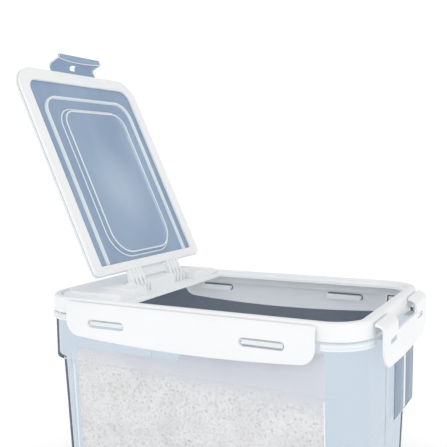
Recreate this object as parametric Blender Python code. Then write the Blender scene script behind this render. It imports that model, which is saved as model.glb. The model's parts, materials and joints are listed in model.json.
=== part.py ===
"""Airtight pet food bin with a four-flap locking lid frame and a hinged clear door.

Metres, +Z up. The origin is the centre of the bin's footprint, on the surface it stands on.
X runs along the lid from the hinge deck (-X) to the latch (+X). The door is built shut, in a frame
whose origin is its hinge axis, and an empty on that axis holds it open.
"""
import bpy
import bmesh
from collections import namedtuple
from math import cos, pi, radians, sin, sqrt
from mathutils import Matrix

MM = 0.001

# Overall sizes
LID_LENGTH = 340 * MM
LID_WIDTH = 222 * MM
RIM_HEIGHT = 250 * MM
LID_RADIUS = 36 * MM
CORNER_STEPS = 6
GAP = 0.3 * MM

# Lid frame section, as distances in from the lid's edge and down from the rim
LIP_WIDTH = 7.8 * MM
LEDGE_WIDTH = 5.2 * MM
LEDGE_DROP = 3.3 * MM
FRAME_DEPTH = 7.0 * MM
SKIRT_DEPTH = 16 * MM
SKIRT_WALL = 2.2 * MM
SEAL_CHANNEL = 4.0 * MM

# Hinge deck on the lid frame, as places along X from the lid's left edge
DECK_END = 92 * MM
DECK_TOP = 3.5 * MM
STEP_TOP = 5.5 * MM
CROSSBAR_LEDGE = 7.0 * MM

# Tub
TUB_INSET = 3.0 * MM
TUB_WALL = 2.2 * MM
TUB_RIM_DROP = 6.2 * MM
BEAD_OUT = 1.0 * MM
COLLAR_INSET = 1.8 * MM
COLLAR_BOTTOM = 65 * MM
BODY_INSET = 8.2 * MM
BODY_TAPER = 8.3 * MM
GRIP_BOTTOM = 120 * MM
GRIP_INSET = 2.3 * MM

# Door, hinge and latch
DOOR_OPEN = radians(115.0)
HINGE_X = 73 * MM
HINGE_Z = 1.0 * MM
BARREL_RADIUS = 4.2 * MM
PIN_RADIUS = 1.5 * MM
PIN_BORE = 1.65 * MM
RIB_WIDTH = 3.4 * MM
RIB_PITCH = 7.0 * MM
RIBS_PER_ARM = 4
ARM_INNER = 25 * MM
DOOR_CLEARANCE = 0.6 * MM
BORDER_WIDTH = 14.5 * MM
BORDER_HINGE_WIDTH = 9.8 * MM
BORDER_THICKNESS = 3.0 * MM
PANEL_THICKNESS = 2.0 * MM
SEAL_GROOVE = 1.4 * MM
LATCH_HALF = 37.4 * MM
LATCH_DEPTH = 15.4 * MM
LATCH_CREASE = 9.7 * MM
LATCH_STAND = 1.5 * MM
LATCH_WALL = 1.8 * MM
LATCH_HOLE_HALF = 5 * MM

# Locking flaps
FLAP_AXIS_OUT = 2.0 * MM
FLAP_AXIS_DROP = 4.5 * MM
FLAP_BEAD = 1.6 * MM
FLAP_WALL = 2.4 * MM
TONGUE_DROP = 22.4 * MM
TONGUE_CLEARANCE = 1.6 * MM
WINDOW_DROP = 17.5 * MM

# Each flap's sizes in mm: half length, how far its outer face stands out from the lid's edge,
# its rounded shoulder, its depth at the middle and at the ends, the radius of its lower corners,
# the centre, length and height of its slots, and half the width of its window for the latch
Flap = namedtuple("Flap", "side half stand shoulder middle end corner slot_at slot_length slot_height window")
LONG_FLAP = dict(
    half=130.5, stand=5, shoulder=7.5, middle=36.5, end=31, corner=13,
    slot_at=82.5, slot_length=43, slot_height=8, window=0,
)
FLAPS = {
    "front_flap": Flap("front", **LONG_FLAP),
    "back_flap": Flap("back", **LONG_FLAP),
    "right_flap": Flap("right", 82, 10.5, 5.5, 42, 38, 18, 53, 22, 5, 38),
    "left_flap": Flap("left", 72, 8.5, 5.5, 38, 34, 13, 53, 22, 5, 0),
}

COLOURS = {
    "clear_blue": ((0.60, 0.72, 0.84), 0.12, 0.45),
    "white_plastic": ((0.90, 0.91, 0.92), 0.35, 1.0),
    "silicone": ((0.80, 0.82, 0.84), 0.60, 1.0),
    "steel": ((0.62, 0.62, 0.63), 0.30, 1.0),
    "paper": ((0.86, 0.85, 0.86), 0.80, 1.0),
}


def clear_scene():
    for obj in list(bpy.data.objects):
        bpy.data.objects.remove(obj)


def material(name):
    """A plain Principled material for one of the object's plastics, metal or paper."""
    found = bpy.data.materials.get(name)
    if found:
        return found
    colour, roughness, alpha = COLOURS[name]
    made = bpy.data.materials.new(name)
    made.use_nodes = True
    shader = made.node_tree.nodes["Principled BSDF"]
    shader.inputs["Base Color"].default_value = (*colour, 1)
    shader.inputs["Roughness"].default_value = roughness
    shader.inputs["Metallic"].default_value = 1.0 if name == "steel" else 0.0
    shader.inputs["Alpha"].default_value = alpha
    return made


def add_object(name, mesh_data, material_name, parent=None):
    """Link a bmesh as a named object, with its faces pointing out."""
    bmesh.ops.recalc_face_normals(mesh_data, faces=mesh_data.faces)
    mesh = bpy.data.meshes.new(name)
    mesh_data.to_mesh(mesh)
    mesh_data.free()
    mesh.shade_smooth()
    mesh.set_sharp_from_angle(angle=radians(35))
    obj = bpy.data.objects.new(name, mesh)
    obj.data.materials.append(material(material_name))
    obj.parent = parent
    bpy.context.scene.collection.objects.link(obj)
    return obj


def as_helper(obj):
    obj.hide_render = True
    obj.display_type = "WIRE"
    return obj


def boolean(target, helper, operation):
    """Cut a helper from a target, or join it on."""
    as_helper(helper)
    modifier = target.modifiers.new(helper.name, "BOOLEAN")
    modifier.operation = operation
    modifier.solver = "EXACT"
    modifier.object = helper


def cut(target, *helpers):
    for helper in helpers:
        boolean(target, helper, "DIFFERENCE")


def join(target, *helpers):
    for helper in helpers:
        boolean(target, helper, "UNION")


def outline(x0, x1, half_width, radius_left, radius_right):
    """A rectangle with rounded corners in XY, counter-clockwise, with one radius at each end."""
    corners = (
        (x1, half_width, radius_right, 0.0),
        (x0, half_width, radius_left, 0.5 * pi),
        (x0, -half_width, radius_left, pi),
        (x1, -half_width, radius_right, 1.5 * pi),
    )
    points = []
    for x, y, radius, start in corners:
        centre_x = x - radius if x == x1 else x + radius
        centre_y = y - radius if y > 0 else y + radius
        for step in range(CORNER_STEPS + 1):
            angle = start + 0.5 * pi * step / CORNER_STEPS
            points.append((centre_x + radius * cos(angle), centre_y + radius * sin(angle)))
    return points


def lid_outline(inset):
    """The lid's outline, moved in by a distance."""
    half = LID_LENGTH / 2 - inset
    radius = LID_RADIUS - inset
    return outline(-half, half, LID_WIDTH / 2 - inset, radius, radius)


def bridge(mesh_data, first, second):
    count = len(first)
    for i in range(count):
        j = (i + 1) % count
        mesh_data.faces.new((first[i], first[j], second[j], second[i]))


def loft(name, loops, material_name, parent=None, ring=False):
    """Skin a list of (outline, height) loops, capped at both ends or closed on itself as a ring."""
    mesh_data = bmesh.new()
    rows = []
    for points, height in loops:
        rows.append([mesh_data.verts.new((x, y, height)) for x, y in points])
    for first, second in zip(rows, rows[1:]):
        bridge(mesh_data, first, second)
    if ring:
        bridge(mesh_data, rows[-1], rows[0])
    else:
        mesh_data.faces.new(list(reversed(rows[0])))
        mesh_data.faces.new(rows[-1])
    return add_object(name, mesh_data, material_name, parent)


def slab(name, points, low, high, material_name, parent=None):
    """An upright prism over an XY outline."""
    return loft(name, ((points, low), (points, high)), material_name, parent)


def block(name, low, high, material_name, parent=None):
    """A plain box between two corners."""
    points = [(high[0], high[1]), (low[0], high[1]), (low[0], low[1]), (high[0], low[1])]
    return slab(name, points, low[2], high[2], material_name, parent)


def prism_along_y(name, section, y0, y1, material_name, parent=None):
    """An XZ section extruded along Y."""
    mesh_data = bmesh.new()
    ends = []
    for y in (y0, y1):
        ends.append([mesh_data.verts.new((x, y, z)) for x, z in section])
    bridge(mesh_data, ends[0], ends[1])
    mesh_data.faces.new(ends[0])
    mesh_data.faces.new(ends[1])
    return add_object(name, mesh_data, material_name, parent)


def circle_section(x, z, radius, sides=24):
    angles = [2 * pi * i / sides for i in range(sides)]
    return [(x + radius * cos(angle), z + radius * sin(angle)) for angle in angles]


def from_left(distance):
    """An X place, from its distance to the lid's left edge."""
    return distance - LID_LENGTH / 2


def from_rim(distance):
    """A Z place, from its height over the rim."""
    return RIM_HEIGHT + distance


# Tub and its insert card

def body_outline(inset, right_inset):
    """The body's outline, with its own inset at the right end, where the collar runs on down."""
    half = LID_LENGTH / 2
    radius = LID_RADIUS - inset
    return outline(inset - half, half - right_inset, LID_WIDTH / 2 - inset, radius, radius)


def tub_loops():
    """Outer wall from the foot up, over the rim, and down the inner wall to the floor."""
    body_foot = BODY_INSET + BODY_TAPER
    grip = BODY_INSET + BODY_TAPER * (GRIP_BOTTOM - COLLAR_BOTTOM) / (RIM_HEIGHT - COLLAR_BOTTOM)
    rim = from_rim(-TUB_RIM_DROP)
    collar = from_rim(-COLLAR_BOTTOM)
    inner = TUB_INSET + TUB_WALL
    return (
        (lid_outline(body_foot + 3 * MM), 0),
        (lid_outline(body_foot + 0.8 * MM), 0.9 * MM),
        (lid_outline(body_foot), 3.2 * MM),
        (lid_outline(grip), from_rim(-GRIP_BOTTOM)),
        (body_outline(grip, GRIP_INSET), from_rim(-GRIP_BOTTOM) + 2 * MM),
        (body_outline(BODY_INSET, COLLAR_INSET), collar - 2 * MM),
        (body_outline(COLLAR_INSET + 0.6 * MM, COLLAR_INSET), collar),
        (lid_outline(COLLAR_INSET), collar + 1 * MM),
        (lid_outline(COLLAR_INSET), from_rim(-25 * MM)),
        (lid_outline(-BEAD_OUT), from_rim(-23.6 * MM)),
        (lid_outline(-BEAD_OUT), from_rim(-18.6 * MM)),
        (lid_outline(TUB_INSET), from_rim(-17 * MM)),
        (lid_outline(TUB_INSET), rim - 0.5 * MM),
        (lid_outline(TUB_INSET + 0.5 * MM), rim),
        (lid_outline(inner - 0.5 * MM), rim),
        (lid_outline(inner), rim - 0.5 * MM),
        (lid_outline(inner), from_rim(-26 * MM)),
        (lid_outline(COLLAR_INSET + TUB_WALL), from_rim(-28 * MM)),
        (lid_outline(COLLAR_INSET + TUB_WALL), collar + 3 * MM),
        (body_outline(BODY_INSET + TUB_WALL, COLLAR_INSET + TUB_WALL), collar),
        (body_outline(grip + TUB_WALL, GRIP_INSET + TUB_WALL), from_rim(-GRIP_BOTTOM) + 6.5 * MM),
        (lid_outline(grip + TUB_WALL), from_rim(-GRIP_BOTTOM) + 4.5 * MM),
        (lid_outline(body_foot + TUB_WALL), 5.6 * MM),
        (lid_outline(body_foot + TUB_WALL + 3 * MM), 2.6 * MM),
    )


def lock_tongue(name, flap, sign):
    """A wedge on the tub's collar that stands in one slot of a flap."""
    half_height = flap.slot_height * MM / 2 - TONGUE_CLEARANCE
    top = from_rim(-TONGUE_DROP + half_height)
    bottom = from_rim(-TONGUE_DROP - half_height)
    root = -(TUB_INSET + 1 * MM)
    reach = flap.stand * MM - FLAP_WALL + 0.8 * MM
    section = ((root, top), (reach, top - 0.5 * MM), (reach, bottom + 0.3 * MM), (root, bottom))
    half_length = flap.slot_length * MM / 2 - 2 * MM
    centre = sign * flap.slot_at * MM
    tongue = prism_along_y(name, section, centre - half_length, centre + half_length, "clear_blue")
    tongue.matrix_world = side_frame(flap.side, 0)
    return tongue


def make_tub():
    tub = loft("tub", tub_loops(), "clear_blue")
    for name, flap in FLAPS.items():
        for sign in (-1, 1):
            join(tub, lock_tongue(f"{name}_tongue_{sign}", flap, sign))
    return tub


def make_insert_card():
    """A printed card that stands inside the front wall, with a low part at its left end."""
    thickness = 0.7 * MM
    top_place = BODY_INSET + TUB_WALL + 0.5 * MM
    foot_place = top_place + BODY_TAPER * 0.96
    card_foot = 12 * MM
    body_top = from_rim(-COLLAR_BOTTOM)
    left, step, right = from_left(38 * MM), from_left(163 * MM), from_left(304 * MM)
    low_top, high_top = from_rim(-53 * MM), from_rim(-29 * MM)
    foot = ((left, card_foot), (right, card_foot))
    shape = foot + ((right, high_top), (step, high_top), (step, low_top), (left, low_top))
    slope = (foot_place - top_place) / (body_top - card_foot)
    mesh_data = bmesh.new()
    sheets = []
    for depth in (0, thickness):
        sheet = []
        for x, z in shape:
            y = -LID_WIDTH / 2 + top_place + slope * (body_top - z) + depth
            sheet.append(mesh_data.verts.new((x, y, z)))
        sheets.append(sheet)
    bridge(mesh_data, sheets[0], sheets[1])
    mesh_data.faces.new(sheets[0])
    mesh_data.faces.new(sheets[1])
    return add_object("insert_card", mesh_data, "paper")


# Lid frame

def frame_ring():
    """The frame's ring: skirt, lip, sealing ledge and the channel over the tub's rim."""
    ledge = LIP_WIDTH + LEDGE_WIDTH
    channel = SKIRT_WALL + SEAL_CHANNEL
    section = (
        (0, -SKIRT_DEPTH),
        (0, -1 * MM),
        (1 * MM, 0),
        (LIP_WIDTH - 0.6 * MM, 0),
        (LIP_WIDTH, -0.6 * MM),
        (LIP_WIDTH, -LEDGE_DROP),
        (ledge, -LEDGE_DROP),
        (ledge, -FRAME_DEPTH),
        (ledge - SKIRT_WALL, -FRAME_DEPTH),
        (ledge - SKIRT_WALL, -LEDGE_DROP - SKIRT_WALL),
        (channel, -LEDGE_DROP - SKIRT_WALL),
        (channel, -2.4 * MM),
        (SKIRT_WALL, -2.4 * MM),
        (SKIRT_WALL, -SKIRT_DEPTH),
    )
    loops = [(lid_outline(inset), from_rim(height)) for inset, height in section]
    return loft("lid_frame", loops, "white_plastic", ring=True)


def deck_parts():
    """The solid left third of the frame: floor, two steps, crossbar and hinge block."""
    half = LID_WIDTH / 2
    end = from_left(DECK_END)
    parts = []
    levels = (
        ("deck_floor", 9.5 * MM, end, half - 9.5 * MM, LID_RADIUS - 9.5 * MM, -2.7 * MM, -0.3 * MM),
        ("deck_step_low", 17.5 * MM, end, half - 14.5 * MM, 20 * MM, -1.5 * MM, DECK_TOP),
        ("deck_step_high", 50 * MM, end, 73 * MM, 6 * MM, 2 * MM, STEP_TOP),
    )
    for name, left, right, half_width, radius, low, high in levels:
        points = outline(from_left(left), right, half_width, radius, 0.5 * MM)
        parts.append(slab(name, points, from_rim(low), from_rim(high), "white_plastic"))
    beam_half = half - LIP_WIDTH - LEDGE_WIDTH + 2 * MM
    beam_end = end + CROSSBAR_LEDGE
    beam = outline(from_left(58 * MM), beam_end, beam_half, 1 * MM, 1 * MM)
    low, high = from_rim(-FRAME_DEPTH + 0.1 * MM), from_rim(-LEDGE_DROP - 0.1 * MM)
    parts.append(slab("crossbar_beam", beam, low, high, "white_plastic"))
    riser = outline(from_left(58.5 * MM), end - 0.1 * MM, beam_half - 6 * MM, 1 * MM, 1 * MM)
    parts.append(slab("crossbar_riser", riser, from_rim(-5 * MM), from_rim(2.9 * MM), "white_plastic"))
    return parts


def arm_reach():
    """Half width of the hinge, over both arms."""
    return ARM_INNER + RIB_PITCH * (RIBS_PER_ARM - 1) + RIB_WIDTH


def hinge_block_parts():
    """End cheeks that hold the pins, and the raised middle between the two arms."""
    reach = arm_reach()
    parts = []
    for sign in (-1, 1):
        inner, outer = sorted((sign * (reach + 0.5 * MM), sign * (reach + 4 * MM)))
        cheek = [(from_left(62 * MM), from_rim(2 * MM)), (from_left(84 * MM), from_rim(2 * MM))]
        for step in range(9):
            angle = radians(20 + 140 * step / 8)
            x = from_left(HINGE_X) + 9 * MM * cos(angle)
            cheek.append((x, from_rim(HINGE_Z) + 7 * MM * sin(angle)))
        parts.append(prism_along_y(f"hinge_cheek_{sign}", cheek, inner, outer, "white_plastic"))
    middle = ARM_INNER - 1 * MM
    points = outline(from_left(63 * MM), from_left(80 * MM), middle, 2 * MM, 2 * MM)
    parts.append(slab("hinge_middle", points, from_rim(3 * MM), from_rim(7 * MM), "white_plastic"))
    return parts


def hinge_cutters():
    """The recess in front of the hinge, one slot for each rib, and the pins' bores."""
    reach = arm_reach()
    floor = from_rim(-3.5 * MM)
    roof = from_rim(15 * MM)
    x_slot, x_recess, x_end = from_left(67.6 * MM), from_left(80.5 * MM), from_left(DECK_END + 1 * MM)
    cutters = []
    side = reach + 0.5 * MM
    cutters.append(block("hinge_recess", (x_recess, -side, floor), (x_end, side, roof), "white_plastic"))
    for sign in (-1, 1):
        group_ends = sorted((sign * (ARM_INNER - 0.5 * MM), sign * side))
        low, high = (from_left(60 * MM), group_ends[0], from_rim(4.4 * MM)), (x_end, group_ends[1], roof)
        cutters.append(block(f"arm_clearance_{sign}", low, high, "white_plastic"))
        for y in rib_places(sign):
            low = (x_slot, y - RIB_WIDTH / 2 - GAP, floor)
            high = (x_recess + 1 * MM, y + RIB_WIDTH / 2 + GAP, roof)
            cutters.append(block(f"rib_slot_{y:.4f}", low, high, "white_plastic"))
        bore = circle_section(from_left(HINGE_X), from_rim(HINGE_Z), PIN_RADIUS + GAP)
        ends = pin_ends(sign, GAP)
        cutters.append(prism_along_y(f"pin_bore_{sign}", bore, ends[0], ends[1], "white_plastic"))
    return cutters


def rib_places(sign):
    """Centres along Y of one arm's ribs."""
    return [sign * (ARM_INNER + RIB_WIDTH / 2 + RIB_PITCH * i) for i in range(RIBS_PER_ARM)]


def pin_ends(sign, extra=0.0):
    inner = ARM_INNER - 3 * MM - extra
    outer = arm_reach() + 2.5 * MM + extra
    return sorted((sign * inner, sign * outer))


def make_lid_frame():
    frame = frame_ring()
    join(frame, *deck_parts(), *hinge_block_parts())
    hollow = outline(from_left(25 * MM), from_left(56 * MM), 93 * MM, 16 * MM, 2 * MM)
    cut(frame, slab("deck_hollow", hollow, from_rim(-12 * MM), from_rim(1.1 * MM), "white_plastic"))
    cut(frame, *hinge_cutters())
    reach = LATCH_STAND - 0.5 * MM
    catch = ((-1 * MM, -1.5 * MM), (reach, -3.4 * MM), (reach, -4.8 * MM), (-1 * MM, -5.2 * MM))
    section = [(LID_LENGTH / 2 + x, from_rim(z)) for x, z in catch]
    catch_half = LATCH_HOLE_HALF - 1 * MM
    join(frame, prism_along_y("latch_catch", section, -catch_half, catch_half, "white_plastic"))
    return frame


def make_lid_gasket():
    """The silicone ring in the frame's channel, over the tub's rim."""
    low, high = from_rim(-TUB_RIM_DROP + GAP), from_rim(-2.4 * MM - GAP)
    outer, inner = SKIRT_WALL + GAP, SKIRT_WALL + SEAL_CHANNEL - GAP
    corners = ((outer, low), (outer, high), (inner, high), (inner, low))
    return loft("lid_gasket", [(lid_outline(inset), z) for inset, z in corners], "silicone", ring=True)


def make_hinge_pins():
    for name, sign in (("hinge_pin_front", -1), ("hinge_pin_back", 1)):
        section = circle_section(from_left(HINGE_X), from_rim(HINGE_Z), PIN_RADIUS)
        ends = pin_ends(sign)
        prism_along_y(name, section, ends[0], ends[1], "steel")


# Locking flaps

def side_frame(side, drop):
    """A frame on one edge of the lid: X points out, Y runs along the edge, and Z is up."""
    turn, half = {
        "right": (0, LID_LENGTH / 2),
        "back": (0.5 * pi, LID_WIDTH / 2),
        "left": (pi, LID_LENGTH / 2),
        "front": (1.5 * pi, LID_WIDTH / 2),
    }[side]
    height = 0 if drop == 0 else from_rim(-drop)
    reach = half + (FLAP_AXIS_OUT if drop else 0)
    return Matrix.Rotation(turn, 4, "Z") @ Matrix.Translation((reach, 0, height))


def flap_section(face, shoulder, depth):
    """Outer and inner points of a flap's section, from the hinge bead down to the lower edge."""
    outer, inner = [], []
    steps = 5
    for step in range(steps + 1):
        angle = 0.5 * pi * step / steps
        fall = 0.25 * sin(angle) + 0.75 * (1 - cos(angle))
        outer.append((face * sin(angle), FLAP_BEAD - (FLAP_BEAD + shoulder) * fall))
        inner_x = (face - FLAP_WALL) * sin(angle) - FLAP_BEAD * 0.4 * (1 - sin(angle))
        inner_z = -FLAP_BEAD - (shoulder - FLAP_BEAD) * (1 - cos(angle))
        inner.append((inner_x, inner_z))
    rows = 4
    for row in range(1, rows + 1):
        z = -shoulder - (depth - shoulder) * row / rows
        outer.append((face, z))
        inner.append((face - FLAP_WALL, z))
    return outer, inner


def flap_depth(flap, y):
    """Depth of a flap at a place along it: a bowed lower edge with rounded corners."""
    half, radius = flap.half * MM, flap.corner * MM
    depth = (flap.middle - (flap.middle - flap.end) * (y / half) ** 2) * MM
    past = abs(y) - (half - radius)
    if past > 0:
        depth -= radius - sqrt(max(radius * radius - past * past, 0))
    return depth


def flap_columns(flap):
    """Places along a flap: even over its length, and close together round its corners."""
    half, radius = flap.half * MM, flap.corner * MM
    places = [(half - radius) * (-1 + 2 * i / 12) for i in range(13)]
    corner = [half - radius + radius * sin(0.5 * pi * i / 6) for i in range(1, 7)]
    return [-c for c in reversed(corner)] + places + corner


def make_flap(name):
    sizes = FLAPS[name]
    face = sizes.stand * MM - FLAP_AXIS_OUT
    mesh_data = bmesh.new()
    columns = []
    for y in flap_columns(sizes):
        outer, inner = flap_section(face, sizes.shoulder * MM, flap_depth(sizes, y))
        loop = outer + list(reversed(inner))
        columns.append([mesh_data.verts.new((x, y, z)) for x, z in loop])
    for first, second in zip(columns, columns[1:]):
        bridge(mesh_data, first, second)
    mesh_data.faces.new(columns[0])
    mesh_data.faces.new(columns[-1])
    flap = add_object(name, mesh_data, "white_plastic")
    flap.matrix_world = side_frame(sizes.side, FLAP_AXIS_DROP)
    for sign in (-1, 1):
        cut(flap, slot_cutter(f"{name}_slot_{sign}", sizes, sign, flap))
    if sizes.window:
        half_width = sizes.window * MM
        low = (-10 * MM, -half_width, FLAP_AXIS_DROP - WINDOW_DROP)
        opening = block(f"{name}_window", low, (20 * MM, half_width, 10 * MM), "white_plastic")
        opening.parent = flap
        cut(flap, opening)
    return flap


def slot_cutter(name, flap, side_sign, parent):
    """A slot with round ends, through a flap's wall."""
    radius = flap.slot_height * MM / 2
    centre_y = side_sign * flap.slot_at * MM
    centre_z = FLAP_AXIS_DROP - TONGUE_DROP
    straight = flap.slot_length * MM / 2 - radius
    mesh_data = bmesh.new()
    ends = []
    for x in (-6 * MM, 14 * MM):
        loop = []
        for sign in (1, -1):
            for step in range(7):
                angle = -0.5 * pi + pi * step / 6 if sign > 0 else 0.5 * pi + pi * step / 6
                y = centre_y + sign * straight + radius * cos(angle)
                loop.append(mesh_data.verts.new((x, y, centre_z + radius * sin(angle))))
        ends.append(loop)
    bridge(mesh_data, ends[0], ends[1])
    mesh_data.faces.new(ends[0])
    mesh_data.faces.new(ends[1])
    return add_object(name, mesh_data, "white_plastic", parent)


# Door, built shut in its hinge frame: X runs from the hinge to the latch

def door_x(distance):
    """An X place in the hinge frame, from its distance to the lid's left edge."""
    return distance - HINGE_X


DOOR_START = door_x(DECK_END + DOOR_CLEARANCE)
DOOR_END = door_x(LID_LENGTH - LIP_WIDTH - DOOR_CLEARANCE)
DOOR_HALF = LID_WIDTH / 2 - LIP_WIDTH - DOOR_CLEARANCE
INNER_FACE = -LEDGE_DROP + GAP - HINGE_Z
BORDER_TOP = INNER_FACE + BORDER_THICKNESS
PANEL_BOTTOM = BORDER_TOP + GAP
PANEL_TOP = PANEL_BOTTOM + PANEL_THICKNESS


def door_outline(side_inset, hinge_inset):
    """The door's outline, moved in by one distance at its free sides and another at the hinge."""
    free_radius = LID_RADIUS - LIP_WIDTH - DOOR_CLEARANCE
    radius_left = max(8 * MM - hinge_inset, 1.5 * MM)
    radius_right = max(free_radius - side_inset, 14 * MM)
    x0, x1 = DOOR_START + hinge_inset, DOOR_END - side_inset
    return outline(x0, x1, DOOR_HALF - side_inset, radius_left, radius_right)


def door_hinge_frame():
    """The empty on the hinge axis, turned to the open position."""
    axis = bpy.data.objects.new("door_hinge_axis", None)
    axis.location = (from_left(HINGE_X), 0, from_rim(HINGE_Z))
    axis.rotation_euler = (0, -DOOR_OPEN, 0)
    bpy.context.scene.collection.objects.link(axis)
    return axis


def arm_parts(axis):
    """Two ribbed hinge arms: barrels on the pin, ribs, and a web along the door's outer face."""
    parts = []
    reach = arm_reach()
    web_low, web_top = BORDER_TOP - 1.6 * MM, BORDER_TOP
    for sign in (-1, 1):
        ends = sorted((sign * ARM_INNER, sign * reach))
        low = (8.7 * MM, ends[0], web_low)
        high = (DOOR_START + 1 * MM, ends[1], web_top - 0.1 * MM)
        parts.append(block(f"arm_web_{sign}", low, high, "white_plastic", axis))
        for y in rib_places(sign):
            side = RIB_WIDTH / 2
            barrel = [p for p in circle_section(0, 0, BARREL_RADIUS, 20) if p[0] < 2.2 * MM]
            tail_x = DOOR_START + 0.8 * MM
            tail = [(tail_x, INNER_FACE + 0.15 * MM), (tail_x, BORDER_TOP - 0.15 * MM)]
            name = f"arm_rib_{y:.4f}"
            parts.append(prism_along_y(name, barrel + tail, y - side, y + side, "white_plastic", axis))
    return parts


def make_door_border(axis):
    """The white border, with a groove for its seal, and the two hinge arms."""
    groove_in, groove_out = 5.6 * MM, 2.4 * MM
    groove_top = INNER_FACE + SEAL_GROOVE
    hinge = BORDER_HINGE_WIDTH
    loops = (
        (door_outline(0, 0), BORDER_TOP),
        (door_outline(BORDER_WIDTH, hinge), BORDER_TOP),
        (door_outline(BORDER_WIDTH, hinge), INNER_FACE),
        (door_outline(groove_in, groove_in), INNER_FACE),
        (door_outline(groove_in, groove_in), groove_top),
        (door_outline(groove_out, groove_out), groove_top),
        (door_outline(groove_out, groove_out), INNER_FACE),
        (door_outline(0, 0), INNER_FACE),
    )
    border = loft("door_border", loops, "white_plastic", axis, ring=True)
    join(border, *arm_parts(axis))
    for sign in (-1, 1):
        ends = sorted((sign * (ARM_INNER - 1 * MM), sign * (arm_reach() + 1 * MM)))
        section = circle_section(0, 0, PIN_BORE)
        cut(border, prism_along_y(f"barrel_bore_{sign}", section, *ends, "white_plastic", axis))
    return border


def make_door_seal(axis):
    outer, inner = 2.4 * MM + GAP, 5.6 * MM - GAP
    low, high = INNER_FACE, INNER_FACE + SEAL_GROOVE - GAP
    loops = (
        (door_outline(outer, outer), low),
        (door_outline(outer, outer), high),
        (door_outline(inner, inner), high),
        (door_outline(inner, inner), low),
    )
    return loft("door_seal", loops, "silicone", axis, ring=True)


def dish_outline(grow):
    """The dished middle of the clear panel."""
    x0, x1 = DOOR_START + 16 * MM - grow, DOOR_END - 48 * MM + grow
    return outline(x0, x1, DOOR_HALF - 47 * MM + grow, 30 * MM + grow, 20 * MM + grow)


def make_door_panel(axis):
    """The clear panel, with its dished middle, stiffening rib, hinge tongue and latch."""
    dish = 3.2 * MM
    loops = (
        (dish_outline(-10 * MM), PANEL_BOTTOM - dish - 0.6 * MM),
        (dish_outline(-2 * MM), PANEL_BOTTOM - dish),
        (dish_outline(0), PANEL_BOTTOM),
        (door_outline(0.3 * MM, 0.3 * MM), PANEL_BOTTOM),
        (door_outline(0, 0), PANEL_BOTTOM + 0.3 * MM),
        (door_outline(0, 0), PANEL_TOP - 0.9 * MM),
        (door_outline(0.9 * MM, 0.9 * MM), PANEL_TOP),
        (dish_outline(1 * MM), PANEL_TOP),
        (dish_outline(-1 * MM), PANEL_TOP - dish),
        (dish_outline(-10 * MM), PANEL_TOP - dish - 0.6 * MM),
    )
    panel = loft("door_panel", loops, "clear_blue", axis)
    tongue_half = ARM_INNER - 1 * MM
    low = (10 * MM, -tongue_half, PANEL_BOTTOM + 0.1 * MM)
    high = (DOOR_START + 2 * MM, tongue_half, PANEL_TOP - 0.1 * MM)
    tongue = block("hinge_tongue", low, high, "clear_blue", axis)
    join(panel, tongue, stiffening_rib(axis), latch_tab(axis))
    hole_low = (door_x(LID_LENGTH - 2 * MM), -LATCH_HOLE_HALF, -6.5 * MM)
    hole_high = (door_x(LID_LENGTH + 12 * MM), LATCH_HOLE_HALF, 5 * MM)
    cut(panel, block("latch_hole", hole_low, hole_high, "clear_blue", axis))
    return panel


def stiffening_rib(axis):
    """A U-shaped rib on the panel's inner face, from the hinge border round the free end."""
    width, height = 2.4 * MM, 3.2 * MM
    inset, end_inset = 27 * MM, 29.5 * MM
    radius = 22 * MM
    x0, x1 = DOOR_START + BORDER_HINGE_WIDTH + 0.6 * MM, DOOR_END - end_inset
    half = DOOR_HALF - inset
    points_out, points_in = [], []
    for grow, points in ((0, points_out), (-width, points_in)):
        points.append((x0, -half - grow))
        for sign in (-1, 1):
            for step in range(7):
                angle = 0.5 * pi * step / 6 if sign > 0 else 0.5 * pi * (step / 6 - 1)
                x = x1 - radius + (radius + grow) * cos(angle)
                points.append((x, sign * (half - radius) + (radius + grow) * sin(angle)))
        points.append((x0, half + grow))
    points_out[0] = (x0, -half)
    points_in[0] = (x0, -half + width)
    points = points_out + list(reversed(points_in))
    return slab("stiffening_rib", points, PANEL_BOTTOM - height, PANEL_BOTTOM + 0.4 * MM, "clear_blue", axis)


def latch_section(share):
    """The latch's section at a share of its half width: (x, z, half width) points."""
    lip_x = door_x(LID_LENGTH + LATCH_STAND)
    face_x = lip_x + LATCH_WALL
    top = PANEL_TOP - 0.1 * MM
    far = -HINGE_Z - LATCH_DEPTH
    crease = -HINGE_Z - LATCH_CREASE - 4.2 * MM * share * share
    radius = 4.5 * MM
    start, wide = DOOR_END - 2 * MM, LATCH_HALF + 1.1 * MM
    outer, inner = [(start, top, wide)], [(start, top - LATCH_WALL, wide)]
    for step in range(6):
        angle = 0.5 * pi * (1 - step / 5)
        for points, bend in ((outer, radius), (inner, radius - LATCH_WALL)):
            x = face_x - radius + bend * cos(angle)
            points.append((x, top - radius + bend * sin(angle), LATCH_HALF))
    crease_half, far_half = LATCH_HALF - 0.4 * MM, LATCH_HALF - 2.4 * MM
    outer += [(face_x, crease + 0.9 * MM, crease_half), (face_x + 3.7 * MM, far + 1.1 * MM, far_half)]
    outer += [(face_x + 3.5 * MM, far, far_half)]
    inner += [(lip_x, crease, crease_half), (face_x + 1.6 * MM, far, far_half)]
    return outer + list(reversed(inner))


def latch_tab(axis):
    """The latch: out over the frame's lip and down its side, to a flared edge with a curved crease."""
    mesh_data = bmesh.new()
    rows = []
    steps = 12
    for step in range(steps + 1):
        share = 2 * step / steps - 1
        rows.append([mesh_data.verts.new((x, share * half, z)) for x, z, half in latch_section(share)])
    for first, second in zip(rows, rows[1:]):
        bridge(mesh_data, first, second)
    mesh_data.faces.new(rows[0])
    mesh_data.faces.new(rows[-1])
    return add_object("latch_tab", mesh_data, "clear_blue", axis)


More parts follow.
